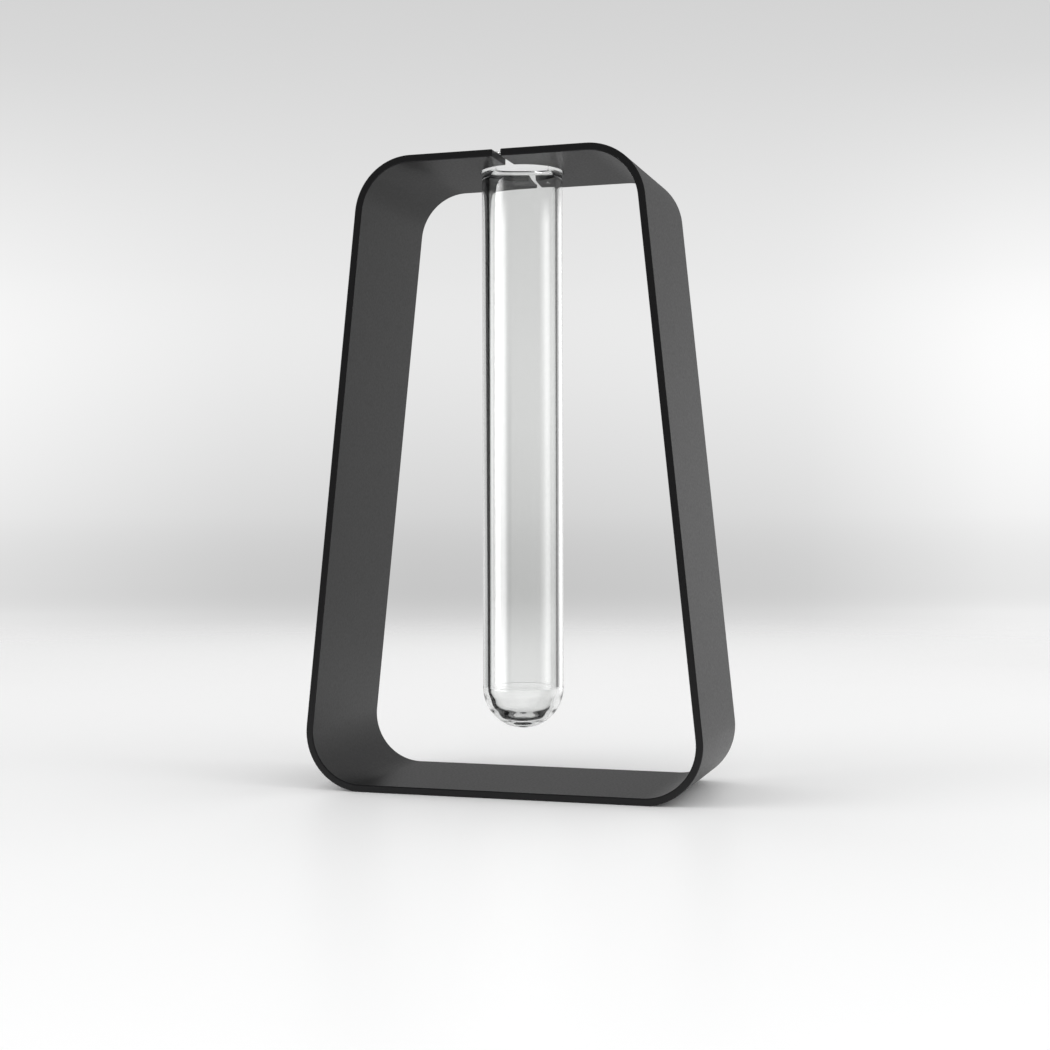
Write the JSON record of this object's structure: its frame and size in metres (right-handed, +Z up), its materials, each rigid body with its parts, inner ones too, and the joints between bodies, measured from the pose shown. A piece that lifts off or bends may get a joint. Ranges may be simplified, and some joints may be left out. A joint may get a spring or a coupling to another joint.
{
  "type": "test tube vase",
  "caption": "Bud vase: a glass test tube hangs by its lip in the top of a tall trapezoid stand bent from a flat steel strip.",
  "frame": {"origin": "on the floor, in the middle of the stand's footprint", "axes": "+Z up along the test tube, +X across the stand, from one leg to the other, +Y from the front to the back along the strip's width"},
  "size_m": [0.1234, 0.0522, 0.1945],
  "materials": {
    "powder_coated_steel": "fine matt powder coat",
    "clear_glass": "clear"
  },
  "bodies": {
    "stand": {"stand": "powder_coated_steel"},
    "tube": {"test_tube": "clear_glass"}
  },
  "joints": [
    {"name": "tube_lift", "type": "slide", "parent": "stand", "child": "tube", "axis": [0, 0, 1], "range_m": [0, 0.18]}
  ]
}
